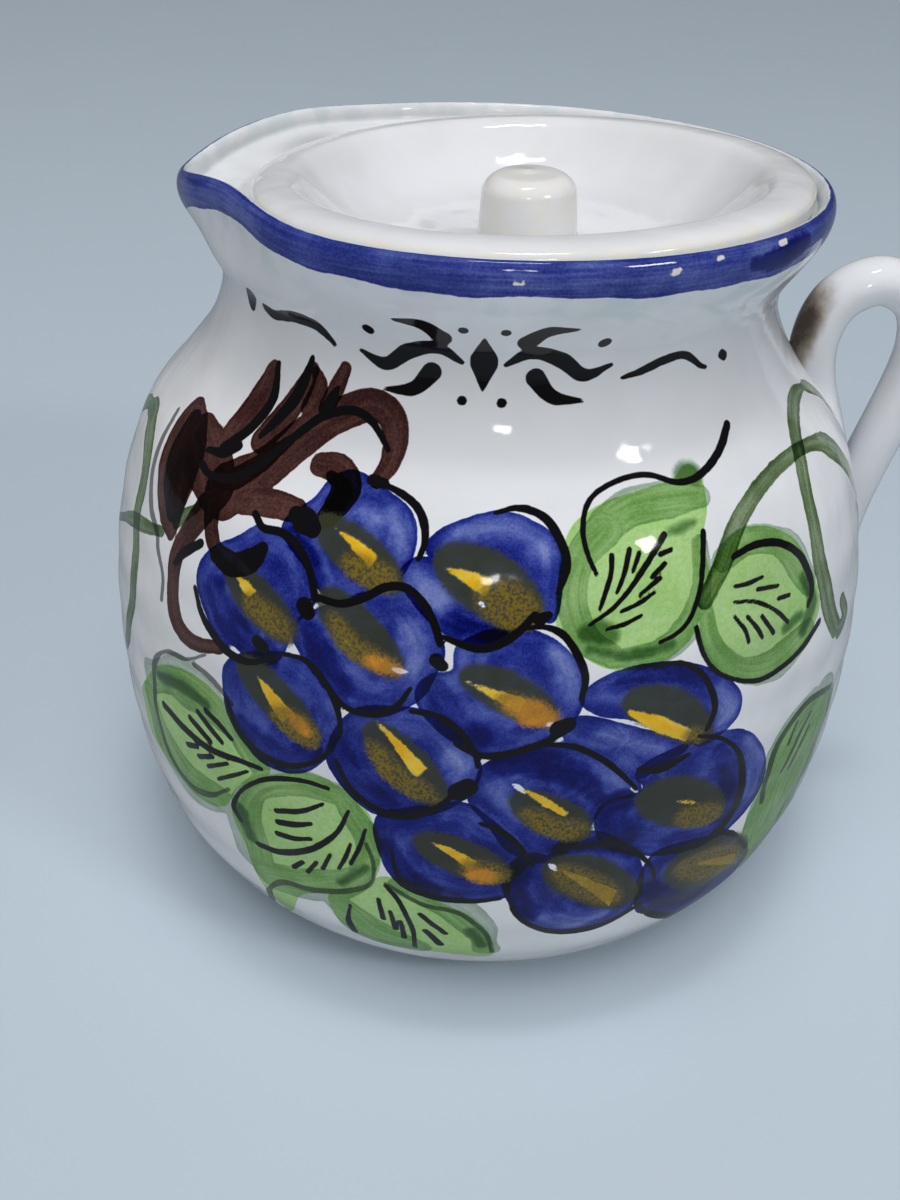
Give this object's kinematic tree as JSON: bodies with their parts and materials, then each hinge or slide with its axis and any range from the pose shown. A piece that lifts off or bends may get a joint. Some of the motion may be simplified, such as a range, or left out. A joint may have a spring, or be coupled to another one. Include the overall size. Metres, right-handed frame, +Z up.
{
  "type": "lidded jug",
  "caption": "Round-bellied glazed ceramic jug with a pinched pouring lip, a small loop handle at the side and a loose dished lid with a stub knob.",
  "frame": {"origin": "middle of the flat base, on the surface that the jug stands on", "axes": "+Z up the jug's axis, -X towards the pouring lip, +X towards the handle, -Y towards the painted front"},
  "size_m": [0.1715, 0.1636, 0.1498],
  "materials": {
    "body_glaze": "gloss, hand painted under the glaze",
    "handle_glaze": "gloss",
    "lid_glaze": "gloss",
    "knob_glaze": "gloss"
  },
  "bodies": {
    "jug": {"jug_body": "body_glaze", "handle": "handle_glaze"},
    "lid": {"lid_plate": "lid_glaze", "lid_knob": "knob_glaze"}
  },
  "joints": [
    {"name": "lid_lift", "type": "slide", "parent": "jug", "child": "lid", "axis": [0, 0, 1], "range_m": [0, 0.06]}
  ]
}
